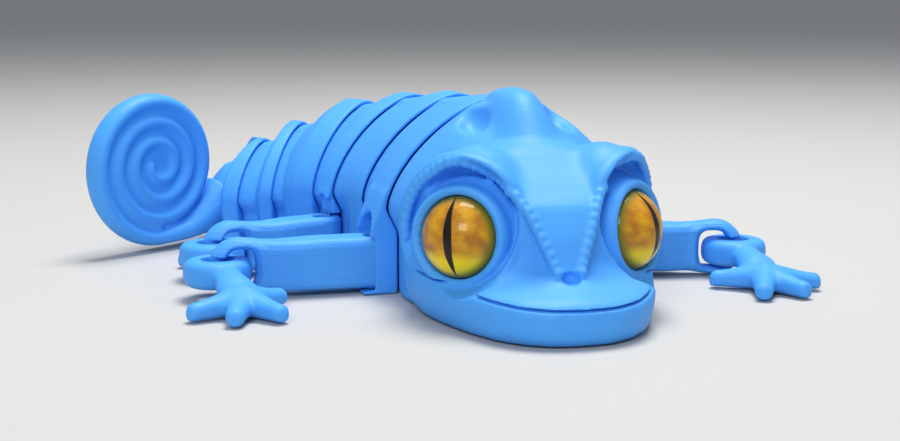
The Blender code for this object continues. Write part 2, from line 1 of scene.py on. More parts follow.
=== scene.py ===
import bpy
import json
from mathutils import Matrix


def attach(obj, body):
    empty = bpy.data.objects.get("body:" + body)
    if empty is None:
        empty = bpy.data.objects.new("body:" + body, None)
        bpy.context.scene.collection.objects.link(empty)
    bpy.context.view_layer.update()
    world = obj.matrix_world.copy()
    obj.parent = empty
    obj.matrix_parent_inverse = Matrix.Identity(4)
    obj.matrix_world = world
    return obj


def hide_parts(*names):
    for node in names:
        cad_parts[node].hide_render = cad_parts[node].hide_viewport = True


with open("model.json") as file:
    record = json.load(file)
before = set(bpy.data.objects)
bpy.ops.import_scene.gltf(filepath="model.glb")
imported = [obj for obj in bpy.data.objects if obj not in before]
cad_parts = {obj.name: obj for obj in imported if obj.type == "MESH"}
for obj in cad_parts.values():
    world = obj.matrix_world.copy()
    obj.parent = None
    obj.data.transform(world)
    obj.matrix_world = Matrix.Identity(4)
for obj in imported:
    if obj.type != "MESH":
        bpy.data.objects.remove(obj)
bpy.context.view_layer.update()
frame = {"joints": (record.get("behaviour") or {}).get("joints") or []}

import json
import math

import bmesh
import bpy
from mathutils import Matrix, Vector

# ------------------------------------------------------------------ printed plastic
# The toy is printed in a sky-blue plastic with a satin sheen. The nozzle leaves fine level layer
# lines, which catch the light on the walls, and a few thicker lines where it slowed down.

LAYER_PITCH = 0.00028
PLASTIC_BLUE = (0.055, 0.330, 0.880, 1.0)
PLASTIC_PALE = (0.090, 0.400, 0.960, 1.0)


def join(tree, start, start_socket, end, end_socket):
    tree.links.new(start.outputs[start_socket], end.inputs[end_socket])


def printed_plastic(name, layer_strength, streak_depth):
    plastic = bpy.data.materials.new(name)
    plastic.use_nodes = True
    tree = plastic.node_tree
    shader = tree.nodes["Principled BSDF"]
    shader.inputs["IOR"].default_value = 1.46
    shader.inputs["Specular IOR Level"].default_value = 0.30
    where = tree.nodes.new("ShaderNodeTexCoord")

    mottle = tree.nodes.new("ShaderNodeTexNoise")
    mottle.inputs["Scale"].default_value = 70.0
    mottle.inputs["Detail"].default_value = 5.0
    join(tree, where, "Object", mottle, "Vector")

    # Stretched noise gives streaks that run level round a wall, like uneven layers.
    stretch = tree.nodes.new("ShaderNodeMapping")
    stretch.inputs["Scale"].default_value = (38.0, 38.0, 1500.0)
    join(tree, where, "Object", stretch, "Vector")
    streak = tree.nodes.new("ShaderNodeTexNoise")
    streak.inputs["Scale"].default_value = 1.0
    streak.inputs["Detail"].default_value = 4.0
    streak.inputs["Roughness"].default_value = 0.62
    join(tree, stretch, "Vector", streak, "Vector")

    shade = tree.nodes.new("ShaderNodeMix")
    shade.data_type = "FLOAT"
    shade.inputs["Factor"].default_value = 0.45
    join(tree, mottle, "Fac", shade, "A")
    join(tree, streak, "Fac", shade, "B")
    tint = tree.nodes.new("ShaderNodeMix")
    tint.data_type = "RGBA"
    tint.inputs["A"].default_value = PLASTIC_BLUE
    tint.inputs["B"].default_value = PLASTIC_PALE
    tree.links.new(shade.outputs["Result"], tint.inputs["Factor"])
    tree.links.new(tint.outputs["Result"], shader.inputs["Base Color"])

    layers = tree.nodes.new("ShaderNodeTexWave")
    layers.bands_direction = "Z"
    layers.inputs["Scale"].default_value = 1.0 / (LAYER_PITCH * 3.1416)
    layers.inputs["Distortion"].default_value = 0.8
    layers.inputs["Detail"].default_value = 1.0
    join(tree, where, "Object", layers, "Vector")

    fine = tree.nodes.new("ShaderNodeBump")
    fine.inputs["Strength"].default_value = layer_strength
    fine.inputs["Distance"].default_value = 0.00006
    join(tree, layers, "Fac", fine, "Height")
    coarse = tree.nodes.new("ShaderNodeBump")
    coarse.inputs["Strength"].default_value = 1.0
    coarse.inputs["Distance"].default_value = streak_depth
    join(tree, streak, "Fac", coarse, "Height")
    join(tree, fine, "Normal", coarse, "Normal")
    join(tree, coarse, "Normal", shader, "Normal")

    gloss = tree.nodes.new("ShaderNodeMapRange")
    gloss.inputs["To Min"].default_value = 0.38
    gloss.inputs["To Max"].default_value = 0.60
    join(tree, streak, "Fac", gloss, "Value")
    join(tree, gloss, "Result", shader, "Roughness")
    return plastic


body_plastic = printed_plastic("blue_plastic", 0.14, 0.00004)

# ------------------------------------------------------------------ spine
# Each printed hood ends in a barrel that turns inside the next hood, round an upright pin. The
# hoods are printed flat side down in one go, already linked, and low flanks flare out over the legs.

PINS = {joint["child"]: Vector(joint["pos_m"]) for joint in frame["joints"]}
GAP = 0.00055  # room that a piece swings in
SEAM = 0.00034  # what shows of it between a rim and the barrel under it
SILL = 0.45  # height of a hood's widest level, as a share of its height
DOME_POWER = 1.29  # 1 gives a half-round dome, and more gives a peaked one
RIM_STEP = 0.00105
RIM_INSET = 0.0013
CAP_RISE = 0.0009
BARREL_INSET = 0.0024
EDGE_SHARE = 0.30  # a rim stands this share of the barrel's radius behind the pin
BARREL_TUCK = 0.0020
PAST = 0.06  # past the outermost point of any piece, measured from its own pin
SWING = math.radians(8.0)
WING_SKIN, HOOD_SKIN = 0.0006, 0.00042  # grain of the melted skins


def deselect():
    for obj in bpy.context.selected_objects:
        obj.select_set(False)


def pick(piece):
    deselect()
    piece.select_set(True)
    bpy.context.view_layer.objects.active = piece
    return piece


def apply_all(piece):
    pick(piece)
    for modifier in list(piece.modifiers):
        bpy.ops.object.modifier_apply(modifier=modifier.name)
    return piece


def skin(name, sections):
    """A closed form made by extruding a first section through the others, each of as many points."""
    deselect()
    count = len(sections[0])
    bpy.ops.mesh.primitive_circle_add(vertices=count, fill_type="NGON", radius=0.01)
    piece = bpy.context.object
    piece.name = name
    bpy.ops.object.mode_set(mode="EDIT")
    mesh = bmesh.from_edit_mesh(piece.data)
    for vertex, point in zip(mesh.verts, sections[0]):
        vertex.co = point
    before = sections[0]
    for section in sections[1:]:
        bpy.ops.mesh.extrude_region_move()
        mesh = bmesh.from_edit_mesh(piece.data)
        for vertex in [v for v in mesh.verts if v.select]:
            place = min(range(count), key=lambda i: (vertex.co - before[i]).length_squared)
            vertex.co = section[place]
        before = section
    bpy.ops.mesh.select_all(action="SELECT")
    bpy.ops.mesh.normals_make_consistent(inside=False)
    bpy.ops.object.mode_set(mode="OBJECT")
    return piece


def combine(piece, tool, operation):
    """Joins or cuts a piece with a tool, which is used up."""
    change = piece.modifiers.new(operation.lower(), "BOOLEAN")
    change.operation = operation
    change.object = tool
    apply_all(piece)
    bpy.data.objects.remove(tool, do_unlink=True)
    return piece


def join_into(piece, *others):
    pick(piece)
    for other in others:
        other.select_set(True)
    bpy.ops.object.join()
    return piece


def soften(piece, voxel, rounds):
    """Melts a built-up form into one skin, with its edges rounded as a nozzle leaves them."""
    melt = piece.modifiers.new("melt", "REMESH")
    melt.mode = "VOXEL"
    melt.voxel_size = voxel
    ease = piece.modifiers.new("ease", "SMOOTH")
    ease.factor = 0.5
    ease.iterations = rounds
    return apply_all(piece)


def turned(name, levels, sides, centre=(0.0, 0.0)):
    """An upright turned form through (radius, height) levels."""
    sections = []
    for radius, height in levels:
        ring = []
        for i in range(sides):
            angle = 2 * math.pi * i / sides
            ring.append(Vector((centre[0] + radius * math.cos(angle),
                                centre[1] + radius * math.sin(angle), height)))
        sections.append(ring)
    return skin(name, sections)


def raised(name, outline, low, high):
    """A plan outline raised from low to high."""
    return skin(name, [[Vector((x, y, z)) for x, y in outline] for z in (low, high)])


def cut_away(piece, outline):
    """Removes what stands over a plan outline, from under the floor to over the tallest piece."""
    return combine(piece, raised("away", outline, -0.005, PAST), "DIFFERENCE")


def cut_past(piece, edge, turn=0.0, y=0.0):
    """Removes what lies behind a straight edge across a piece, which is turned about a pin at y."""
    beyond = [(-PAST, edge), (PAST, edge), (PAST, 0.08), (-PAST, 0.08)]
    return cut_away(piece, spun(beyond, turn, 0.0, y))


def spun(outline, angle, x=0.0, y=0.0):
    """A plan outline turned about its own origin and moved."""
    c, s = math.cos(angle), math.sin(angle)
    return [(x + c * a - s * b, y + s * a + c * b) for a, b in outline]


def finish(piece, body, nodes, material, pin=Vector((0.0, 0.0, 0.0)), heading=0.0):
    """Puts a piece made round its own pin in its place, sole on the floor, with its finish and body."""
    pick(piece)
    piece.data.transform(Matrix.Translation(pin) @ Matrix.Rotation(heading, 4, "Z"))
    for vertex in piece.data.vertices:
        vertex.co.z = max(vertex.co.z, 0.0)
    piece.data.materials.clear()
    piece.data.materials.append(material)
    bpy.ops.object.shade_smooth()
    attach(piece, body)
    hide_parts(*nodes)
    return piece


def dome(half_width, height, count):
    """Points (x, z) up one side of a peaked dome, from its sill to just under its crown."""
    sill = SILL * height
    points = []
    for i in range(count):
        angle = math.pi / 2 * i / count
        points.append((half_width * math.cos(angle) ** DOME_POWER,
                       sill + (height - sill) * math.sin(angle) ** DOME_POWER))
    return points


def mirrored(right, height, y):
    left = [(-x, z) for x, z in reversed(right)]
    return [Vector((x, y, z)) for x, z in right + [(0.0, height)] + left]


def arch(half_width, height, y):
    """A hood's section: a low wall that leans in, a sill, and a dome over it."""
    sill = SILL * height
    low = [(half_width - RIM_INSET * (1.0 - share), share * sill) for share in (0.0, 0.3, 0.6, 0.85)]
    return mirrored(low + dome(half_width, height, 14), height, y)


def waist(radius, height, y):
    """A hood's section over its rear pin, as wide as the barrel that follows."""
    share = math.sqrt(1 - EDGE_SHARE**2)
    foot, sill = radius - BARREL_INSET, SILL * height
    low = [(foot, 0.0), (foot, 0.3 * sill), (foot, 0.6 * sill), (foot + 0.45 * BARREL_INSET, 0.85 * sill)]
    over = [(math.hypot(x, EDGE_SHARE * radius), z) for x, z in dome(share * radius, height - CAP_RISE, 14)]
    return mirrored(low + over, height, y)


def part_way(first, second, share, y):
    """A section between two others, at y."""
    mixed = [a.lerp(b, share) for a, b in zip(first, second)]
    return [Vector((point.x, y, point.z)) for point in mixed]


def barrel_levels(radius, height, grow=0.0):
    share = math.sqrt(1 - EDGE_SHARE**2)
    setback, sill = EDGE_SHARE * radius, SILL * height
    foot = radius - BARREL_INSET + grow
    levels = [(foot, -grow), (foot, 0.72 * sill)]
    for i, (x, z) in enumerate(dome(share * radius, height - CAP_RISE, 10)):
        angle = math.pi / 2 * i / 10
        levels.append((math.hypot(x, setback) + grow * math.cos(angle), z + grow * math.sin(angle)))
    return levels + [(setback, height - CAP_RISE + grow), (0.03 * radius, height + grow)]


def barrel_for(half_width, height):
    """The barrel that fits under the rim of the hood behind it."""
    return (half_width - RIM_STEP) / math.sqrt(1 - EDGE_SHARE**2), height - RIM_STEP + CAP_RISE


def cut_behind(piece, start, left_angle, right_angle, y):
    """Removes what lies behind a shallow V, whose arms leave the middle at the two angles."""
    outline = [(0.0, y + start)]
    for x, angle in ((PAST, right_angle), (-PAST, left_angle)):
        outline.append((x, y + (start + x * math.sin(angle)) / math.cos(angle)))
    outline[1:] = [outline[1], (PAST, y + 0.1), (-PAST, y + 0.1), outline[2]]
    return cut_away(piece, outline)


def hood(name, half_width, height, front_barrel, rear_barrel, length, turn, wings=None):
    """One hood round its front pin, facing -Y, with the barrel that the next hood turns on."""
    edge = EDGE_SHARE * front_barrel[0]
    radius, top = rear_barrel
    crown = edge + 0.35 * (length - edge) + 0.001
    full = arch(half_width + 0.0002, height + 0.0002, crown)
    rear = waist(radius, top, length + 0.0004)
    shell = skin(name, [
        arch(half_width - 0.0002, height - 0.0002, edge - 0.0030),
        arch(half_width, height, edge + 0.0006),
        full,
        part_way(full, rear, 0.30, crown + 0.42 * (length - crown)),
        part_way(full, rear, 0.72, crown + 0.78 * (length - crown)),
        rear,
    ])
    if wings:
        combine(shell, wings, "UNION")
        soften(shell, WING_SKIN, 12)
    cut_away(shell, [(-PAST, -0.05), (PAST, -0.05), (PAST, edge), (-PAST, edge)])
    if name == "tail_base_3_hood":
        # The coil's neck swings here, between the sides of a slot that widens backwards.
        near, reach = 0.0069, 0.03
        far = near + reach * math.tan(SWING)
        slot = [(near, -0.002), (far, reach), (-far, reach), (-near, -0.002)]
        cut_away(shell, spun(slot, turn, 0.0, length))
        combine(shell, turned("post", barrel_levels(radius, top), 64, (0.0, length)), "UNION")
    else:
        cut_behind(shell, EDGE_SHARE * radius - GAP, turn + SWING, turn - SWING, length)
        drum = turned("drum", barrel_levels(radius, top), 96, (0.0, length))
        cut_past(drum, EDGE_SHARE * radius + BARREL_TUCK, turn, length)
        combine(shell, drum, "UNION")
    room = turned("room", barrel_levels(*front_barrel, grow=SEAM), 96)
    cut_behind(room, EDGE_SHARE * front_barrel[0] + BARREL_TUCK + GAP, -SWING, SWING, 0.0)
    return combine(shell, room, "DIFFERENCE")


def pin_of(body):
    return Vector((PINS[body].x, PINS[body].y, 0.0))


def heading_between(body, next_body):
    """The angle by which a piece is turned from +Y, read from its pin and its next one."""
    way = pin_of(next_body) - pin_of(body)
    return math.atan2(-way.x, way.y)


# Front rim of each hood: half width and height.
EDGES = {
    "chest": (0.0260, 0.0424),
    "trunk_2": (0.0254, 0.0418),
    "hip": (0.0248, 0.0404),
    "tail_base_1": (0.0226, 0.0378),
    "tail_base_2": (0.0198, 0.0316),
    "tail_base_3": (0.0162, 0.0268),
}
CHAIN = ["chest", "trunk_2", "hip", "tail_base_1", "tail_base_2", "tail_base_3", "tail_coil"]
NECK_PIN = pin_of("head")
COIL_HEADING = math.radians(119.3)
LAST_BARREL = (0.0088, 0.0205)
pins = [NECK_PIN] + [pin_of(body) for body in CHAIN[1:]]
headings = [0.0] + [heading_between(a, b) for a, b in zip(CHAIN[1:], CHAIN[2:])] + [COIL_HEADING]
lengths = [(b - a).length for a, b in zip(pins, pins[1:])]


def wings_for(ground, shoulder, near, far, back, lift):
    """Flanks that spread low down from a hood, to hold the legs' pins."""
    inner = 0.019
    section = ((inner, lift), (ground - 0.0006, lift), (ground, lift + 0.001),
               (0.5 * (ground + shoulder) + 0.0004, 0.0065), (shoulder + 0.0008, 0.012),
               (shoulder - 0.0002, 0.0155), (shoulder - 0.0016, 0.0190), (shoulder - 0.0030, 0.0225),
               (inner, 0.0250))
    rows = []
    for share in (0.0, 0.5, 1.0):
        row = []
        for x, z in section:
            start = near + (far - near) * (x - inner) / (ground - inner)
            row.append(Vector((x, start + share * (back - start), z)))
        rows.append(row)
    wing = skin("wing", rows)
    mirror = wing.modifiers.new("other side", "MIRROR")
    mirror.use_mirror_merge = False
    return apply_all(wing)


LEG_HALF, LEG_LOW, LEG_HIGH = 0.0046, 0.0012, 0.0124  # half width of a leg, and its two edges
SOCKET_PIN = 0.0018


def leg_room(side, x, y, sweep):
    """The slot that a leg swings in, under a round arch, with the leg's pin left standing."""
    reach, half = 0.014, LEG_HALF + GAP
    spread = half + reach * math.tan(math.radians(10.0))
    plan = [(half, 0.0), (spread, reach), (-spread, reach), (-half, 0.0)]
    low, high = LEG_LOW - GAP, LEG_HIGH + GAP
    heading = sweep - math.pi / 2 * side
    room = raised("leg room", spun(plan, heading, side * x, y), low, high)
    combine(room, turned("knuckle room", [(half, low), (half, high)], 48, (side * x, y)), "UNION")
    post = turned("post", [(SOCKET_PIN, low - 0.001), (SOCKET_PIN, high + 0.001)], 32, (side * x, y))
    combine(room, post, "DIFFERENCE")
    vault = turned("vault", [(half, 0.0), (half, 0.016)], 40)
    lie = Matrix.Translation((0.0, -0.0015, 0.0)) @ Matrix.Rotation(-math.pi / 2, 4, "X")
    stand = Matrix.Translation((side * x, y, high - 0.0008)) @ Matrix.Rotation(heading, 4, "Z")
    vault.data.transform(stand @ lie)
    return combine(room, vault, "UNION")


# The slots follow the legs: socket pin from the middle line, its distance behind the front pin,
# and the sweep of the legs on either side.
LEG_SOCKETS = {
    "chest": (0.0264, 0.0132, -5.0, -22.0),
    "hip": (0.0254, 0.0102, -6.0, 6.0),
}
# Each flank's reach on the floor and at its shoulder, where its inner and outer edges start, how
# far back it runs, and how high its underside is.
WINGS = {
    "chest": (0.0310, 0.0286, 0.0050, 0.0072, 0.0196, 0.0),
    "hip": (0.0276, 0.0266, 0.0060, 0.0064, 0.0154, 0.0012),
}
for index, body in enumerate(CHAIN[:-1]):
    edges = EDGES[body]
    follower = CHAIN[index + 1]
    rear = barrel_for(*EDGES[follower]) if follower in EDGES else LAST_BARREL
    turn = headings[index + 1] - headings[index]
    wings = wings_for(*WINGS[body]) if body in WINGS else None
    piece = hood(body + "_hood", *edges, barrel_for(*edges), rear, lengths[index], turn, wings)
    if body in LEG_SOCKETS:
        x, y, right_sweep, left_sweep = LEG_SOCKETS[body]
        combine(piece, leg_room(-1, x, y, math.radians(right_sweep)), "DIFFERENCE")
        combine(piece, leg_room(1, x, y, math.radians(left_sweep)), "DIFFERENCE")
    soften(piece, HOOD_SKIN, 4)
    finish(piece, body, [body], body_plastic, pins[index], headings[index])

# ------------------------------------------------------------------ legs
# Each leg is a plain bar, printed in its socket. It ends in an upright ring, and the foot's loop
# goes round the ring's outer bar, so that the foot can turn and tilt.

RING_HALF, RING_LOW, RING_HIGH = 0.0033, 0.0003, 0.0131
BAR_RADIUS = 0.0018
LOOP_RADIUS, LOOP_LOW, LOOP_HIGH = 0.0074, 0.0029, 0.0087

# The legs were printed with coarser layers, whose lines run along their sides.
leg_plastic = printed_plastic("leg_plastic", 0.6, 0.00022)


def side_plate(name, outlines):
    """Outlines (y, points) in the upright plane along a leg, joined from one side to the other."""
    return skin(name, [[Vector((x, y, z)) for x, z in outline] for y, outline in outlines])


def chamfered(half, low, high, cut, x):
    right = [(half - cut, low), (half - 0.3 * cut, low + 0.3 * cut), (half, low + cut),
             (half, high - cut), (half - 0.3 * cut, high - 0.3 * cut), (half - cut, high)]
    left = [(-y, z) for y, z in reversed(right)]
    return [Vector((x, y, z)) for y, z in right + left]


def ring_outline(tip, inset):
    """The arch of a leg's ring, with a tang that runs back into the bar."""
    centre, middle = tip - 0.0044, 0.5 * (RING_LOW + RING_HIGH)
    radius = 0.5 * (RING_HIGH - RING_LOW) - inset
    tang, neck = tip - 0.0150, centre - 0.0034
    outline = [(tang, LEG_LOW + 0.0008 + inset), (neck, RING_LOW + 0.0004 + inset)]
    for i in range(17):
        angle = math.pi * (i / 16 - 0.5)
        outline.append((centre + radius * math.cos(angle), middle + radius * math.sin(angle)))
    return outline + [(neck, RING_HIGH - 0.0004 - inset), (tang, LEG_HIGH - 0.0008 - inset)]


def hole_outline(length, grow):
    """The round-cornered hole in a leg's ring, as upright as it is wide."""
    left, right = length - LOOP_RADIUS - 0.0008 - grow, length - BAR_RADIUS + 0.6 * grow
    low, high = RING_LOW + 0.0020 - grow, RING_HIGH - 0.0024 + grow
    points = []
    for i in range(24):
        angle = 2 * math.pi * i / 24
        c, s = math.cos(angle), math.sin(angle)
        points.append((0.5 * (left + right) + 0.5 * (right - left) * math.copysign(abs(c) ** 0.62, c),
                       0.5 * (low + high) + 0.5 * (high - low) * math.copysign(abs(s) ** 0.62, s)))
    return points


def build_leg(length):
    """A leg pointing along +X from its pin, as far as the foot's pin in its ring."""
    knuckle = [(LEG_HALF - 0.0008, LEG_LOW), (LEG_HALF, LEG_LOW + 0.0008),
               (LEG_HALF, LEG_HIGH - 0.0008), (LEG_HALF - 0.0008, LEG_HIGH)]
    leg = turned("leg", knuckle, 64)
    half, bar_end = LEG_HALF - 0.0001, length - 0.0115
    bar = skin("bar", [
        chamfered(half, LEG_LOW, LEG_HIGH, 0.0014, 0.0005),
        chamfered(half, LEG_LOW, LEG_HIGH, 0.0016, 0.55 * bar_end),
        chamfered(half - 0.0001, LEG_LOW, LEG_HIGH - 0.0002, 0.0018, bar_end - 0.0035),
        chamfered(RING_HALF + 0.0003, LEG_LOW, LEG_HIGH - 0.0002, 0.0018, bar_end - 0.0008),
        chamfered(RING_HALF - 0.0002, LEG_LOW, LEG_HIGH, 0.0016, bar_end + 0.0015),
    ])
    combine(leg, bar, "UNION")
    ring = [(share * RING_HALF, ring_outline(length, inset))
            for share, inset in ((-1.0, 0.0016), (-0.7, 0.0004), (-0.35, 0.0),
                                 (0.35, 0.0), (0.7, 0.0004), (1.0, 0.0016))]
    combine(leg, side_plate("ring", ring), "UNION")
    flare, waisted = hole_outline(length, 0.0014), hole_outline(length, 0.0)
    hole = [(-RING_HALF - 0.0006, flare), (-0.55 * RING_HALF, waisted),
            (0.55 * RING_HALF, waisted), (RING_HALF + 0.0006, flare)]
    combine(leg, side_plate("hole", hole), "DIFFERENCE")
    low, high, wide = LOOP_LOW - GAP, LOOP_HIGH + GAP, LOOP_RADIUS + GAP
    gap = turned("gap", [(wide, low), (wide, high)], 64, (length, 0.0))
    stay = turned("stay", [(BAR_RADIUS, 0.0), (BAR_RADIUS, 0.014)], 48, (length, 0.0))
    combine(gap, stay, "DIFFERENCE")
    combine(leg, gap, "DIFFERENCE")
    bore = turned("bore", [(SOCKET_PIN + GAP, 0.0), (SOCKET_PIN + GAP, 0.020)], 32)
    combine(leg, bore, "DIFFERENCE")
    return soften(leg, 0.00030, 6)


LEGS = ("front_right", "front_left", "hind_right", "hind_left")
for limb in LEGS:
    hip_pin, ankle_pin = pin_of(limb + "_leg"), pin_of(limb + "_foot")
    way = ankle_pin - hip_pin
    leg = build_leg(way.length)
    leg.name = limb + "_leg_bar"
    finish(leg, limb + "_leg", [limb + "_leg"], leg_plastic, hip_pin, math.atan2(way.y, way.x))

# ------------------------------------------------------------------ feet
# Each foot is a tall loop, a root that runs down from it, and four slender toes webbed into a low
# star. It is printed with its loop already round the bar of the leg's ring.

FOOT_TURNS = {"front_right": 5.0, "front_left": -8.0, "hind_right": 157.6, "hind_left": -122.4}
PALM_REACH = 0.0180
TOES = ((-25.0, 0.0124), (25.0, 0.0126), (-80.0, 0.0124), (118.0, 0.0122))  # heading, length
# Half width, height and share of the length at each section of a toe.
TOE_SECTIONS = ((0.0042, 0.0062, -0.06), (0.0032, 0.0053, 0.28), (0.0024, 0.0044, 0.56),
                (0.0020, 0.0039, 0.76), (0.0021, 0.0038, 0.88), (0.0017, 0.0034, 0.955),
                (0.0008, 0.0024, 0.995))
# Half width, low and high edges and distance from the loop's middle at each section of the root.
ROOT_SECTIONS = ((0.0030, 0.0030, 0.0082, 0.0052), (0.0033, 0.0024, 0.0080, 0.0090),
                 (0.0044, 0.0004, 0.0073, 0.0145), (0.0034, 0.0004, 0.0050, 0.0203))


def toe_section(half, low, tall, along, heading, y):
    """A rounded section across a toe, at a distance along its heading."""
    points = []
    for i in range(18):
        angle = 2 * math.pi * i / 18
        (wx, wy), = spun([(half * math.cos(angle), -along)], heading, 0.0, y)
        points.append(Vector((wx, wy, low + 0.5 * tall * (1.0 + math.sin(angle)))))
    return points


def build_foot(side):
    foot = turned("foot", [(LOOP_RADIUS - 0.0013, LOOP_LOW), (LOOP_RADIUS - 0.0003, LOOP_LOW + 0.0008),
                           (LOOP_RADIUS, LOOP_LOW + 0.0020), (LOOP_RADIUS, LOOP_HIGH - 0.0020),
                           (LOOP_RADIUS - 0.0003, LOOP_HIGH - 0.0008), (LOOP_RADIUS - 0.0013, LOOP_HIGH)], 64)
    root = skin("root", [toe_section(half, low, high - low, along, 0.0, 0.0)
                         for half, low, high, along in ROOT_SECTIONS])
    combine(foot, root, "UNION")
    for i, (heading, length) in enumerate(TOES):
        low = 0.00015 + 0.00005 * i
        away = math.radians(-side * heading)
        toe = skin("toe", [toe_section(half, low, tall, share * length, away, -PALM_REACH)
                           for half, tall, share in TOE_SECTIONS])
        combine(foot, toe, "UNION")
    soften(foot, 0.00042, 9)
    bore = turned("bore", [(0.0039, -0.001), (0.0034, 0.0045), (0.0034, 0.0072), (0.0040, 0.012)], 64)
    combine(foot, bore, "DIFFERENCE")
    return soften(foot, 0.00028, 4)


for limb in LEGS:
    foot = build_foot(-1 if limb.endswith("right") else 1)
    foot.name = limb + "_foot_shape"
    turn = math.radians(FOOT_TURNS[limb])
    finish(foot, limb + "_foot", [limb + "_foot"], body_plastic, pin_of(limb + "_foot"), turn)

# ------------------------------------------------------------------ coiled tail
# The tail runs down from the last hood and winds into a flat spiral that stands on edge. A thin web
# fills the spiral between its turns, so that the coil can't unwind.

COIL_Y, COIL_Z = 0.0267, 0.0217
COIL_TURNS, COIL_FIRST, COIL_PITCH = 3.3, 0.0183, 0.0049
# Distance behind the pin, height, half height and half thickness, down the neck and round the coil.
path = [(0.0050, 0.0102, 0.0076, 0.0066), (0.0080, 0.0088, 0.0064, 0.0061),
        (0.0110, 0.0072, 0.0050, 0.0054), (0.0145, 0.0057, 0.0038, 0.0048),
        (0.0180, 0.0044, 0.0029, 0.0042)]
STEPS = 150


def on_coil(angle):
    """A point (y, z) on the middle line of the spiral, which starts at its lowest point."""
    radius = COIL_FIRST - COIL_PITCH * angle / (2 * math.pi)
    return COIL_Y + radius * math.sin(angle), COIL_Z - radius * math.cos(angle)


for i in range(STEPS + 1):
    half = min(0.0022, 0.0009 + 0.00008 * (STEPS - i))
    path.append((*on_coil(2 * math.pi * COIL_TURNS * i / STEPS), half, 0.0034))
rings = []
for i, (y, z, half, thick) in enumerate(path):
    before, after = path[max(i - 1, 0)], path[min(i + 1, len(path) - 1)]
    along = Vector((0.0, after[0] - before[0], after[1] - before[1])).normalized()
    out = Vector((0.0, along.z, -along.y))
    ring = []
    for j in range(16):
        angle = 2 * math.pi * j / 16
        ring.append(Vector((thick * math.cos(angle), y, z)) + out * (half * math.sin(angle)))
    rings.append(ring)
coil = skin("coiled_tail", rings)
first_turn = [on_coil(2 * math.pi * i / 72) for i in range(72)]
web = skin("web", [[Vector((x, y, z)) for y, z in first_turn] for x in (-0.0022, 0.0022)])
join_into(coil, web)
soften(coil, 0.00040, 8)
combine(coil, turned("clear", barrel_levels(*LAST_BARREL, grow=GAP), 64), "DIFFERENCE")
soften(coil, 0.00040, 3)
finish(coil, "tail_coil", ["tail_coil"], body_plastic, pins[-1], COIL_HEADING)

# ------------------------------------------------------------------ head
# The head is one printed piece: a wide jaw, a short snout under a raised triangular plate, two
# bulging brows round the eyes' rings, and a tall crest. Beaded ridges edge the plate and the brows.

NECK_TO_EYES = 0.028
EYE_SPREAD, EYE_HEIGHT, EYE_RADIUS = 0.0184, 0.0179, 0.0080
HEAD_HEADING = math.radians(-6.0)
MM = 0.001


def spot(x, ahead, z):
    """A point of the head in millimetres: sideways, ahead of the eyes, and up."""
    return Vector((x * MM, -NECK_TO_EYES - ahead * MM, z * MM))


def level(z, half):
    """A level outline of the head, from its right half, which runs from the front to the back."""
    right = [spot(x, ahead, z) for x, ahead in half]
    left = [spot(-x, ahead, z) for x, ahead in reversed(half)]
    if half[0][0] == 0.0:
        left = left[:-1]
    return right + left


def hump(z, half, front, back, count=32):
    """A level outline of the crest: pointed round its front, and square across its back."""
    points = []
    for i in range(count):
        angle = 2 * math.pi * i / count
        c, s = math.cos(angle), math.sin(angle)
        power = 0.8 if c > 0 else 0.4
        middle, reach = 0.35 * front + 0.65 * back, (0.65 if c > 0 else 0.35) * (front - back)
        points.append(spot(half * math.copysign(abs(s) ** (1.0 if c > 0 else 0.6), s),
                           middle + reach * math.copysign(abs(c) ** power, c), z))
    return points


def eye_frame(side, lift=0.0):
    """The way an eye looks, outwards and forwards, and a little up."""
    turn = Matrix.Rotation(math.radians(40.0 * side), 4, "Z")
    tilt = Matrix.Rotation(math.radians(84.0), 4, "X")
    where = Vector((EYE_SPREAD * side, -NECK_TO_EYES, EYE_HEIGHT))
    return Matrix.Translation(where) @ turn @ tilt @ Matrix.Translation((0.0, 0.0, lift * MM))


def over_eye(side, share):
    """The middle of the band over an eye, in the eye's own frame: angle, point and half thickness."""
    angle = math.radians(90.0 - side * (-52.0 + 170.0 * share))
    back = 0.0016 + 0.0052 * max(0.0, side * math.cos(angle))
    tube = 0.0005 + 0.0017 * math.sin(math.pi * share) ** 0.7
    return angle, 0.0149 * math.cos(angle), 0.0149 * math.sin(angle), -back, tube


def ball(centre, radii, segments=48):
    deselect()
    bpy.ops.mesh.primitive_uv_sphere_add(segments=segments, ring_count=segments // 2, radius=1.0,
                                         location=centre, scale=radii)
    bpy.ops.object.transform_apply(location=True, rotation=True, scale=True)
    return bpy.context.object


